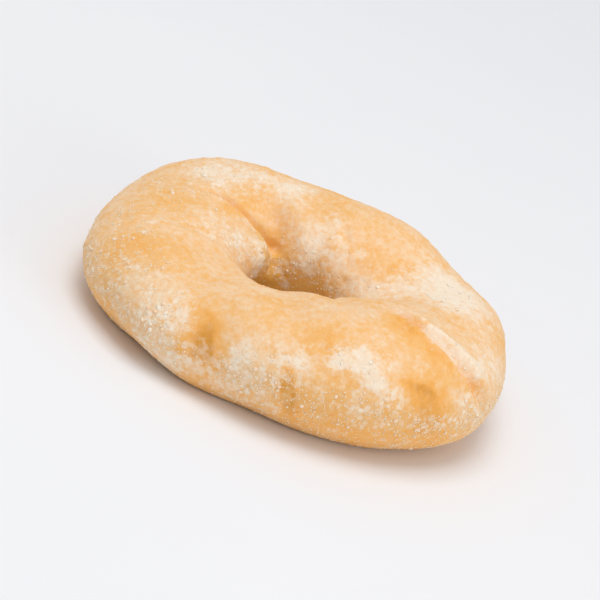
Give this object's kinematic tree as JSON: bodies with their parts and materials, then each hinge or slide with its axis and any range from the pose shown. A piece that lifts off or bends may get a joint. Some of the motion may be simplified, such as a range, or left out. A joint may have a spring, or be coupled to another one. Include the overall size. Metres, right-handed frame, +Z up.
{
  "type": "sourdough bagel",
  "caption": "Whole plain sourdough bagel, an uneven ring of baked dough with folds in its crown, a small oval hole and a flat base to rest on.",
  "frame": {"origin": "on the flat base, under the middle of the ring's box", "axes": "+X along the ring's longest side, +Y away from the deep fold at the front right, +Z up out of the crown"},
  "size_m": [0.111, 0.101, 0.0319],
  "materials": {
    "crust": "matte baked crust, patchy pale cream to golden tan, dusted with flour and semolina"
  },
  "bodies": {
    "root": {"bagel": "crust"}
  },
  "joints": []
}
